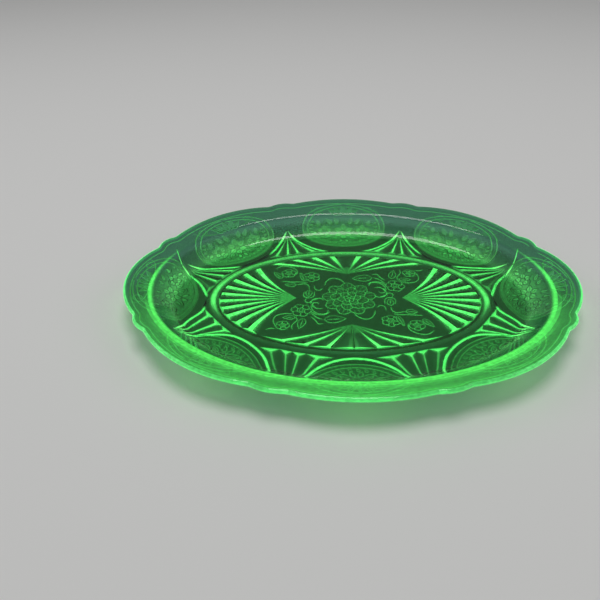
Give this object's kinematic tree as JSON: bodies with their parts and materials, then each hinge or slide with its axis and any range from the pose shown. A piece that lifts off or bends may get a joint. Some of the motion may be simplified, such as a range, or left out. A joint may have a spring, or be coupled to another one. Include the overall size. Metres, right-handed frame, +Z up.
{
  "type": "oval glass platter",
  "caption": "Shallow oval serving platter in green pressed glass, with a scalloped flange, a fluted ring and floral relief.",
  "frame": {"origin": "centre of the flat underside that the platter rests on", "axes": "+X along the length, +Y across the width, +Z up out of the well"},
  "size_m": [0.33, 0.25, 0.022],
  "materials": {
    "uranium_glass": "fire-polished pressed glass, deep yellow-green, glowing neon green along its ribs and edges"
  },
  "bodies": {
    "root": {"platter": "uranium_glass"}
  },
  "joints": []
}
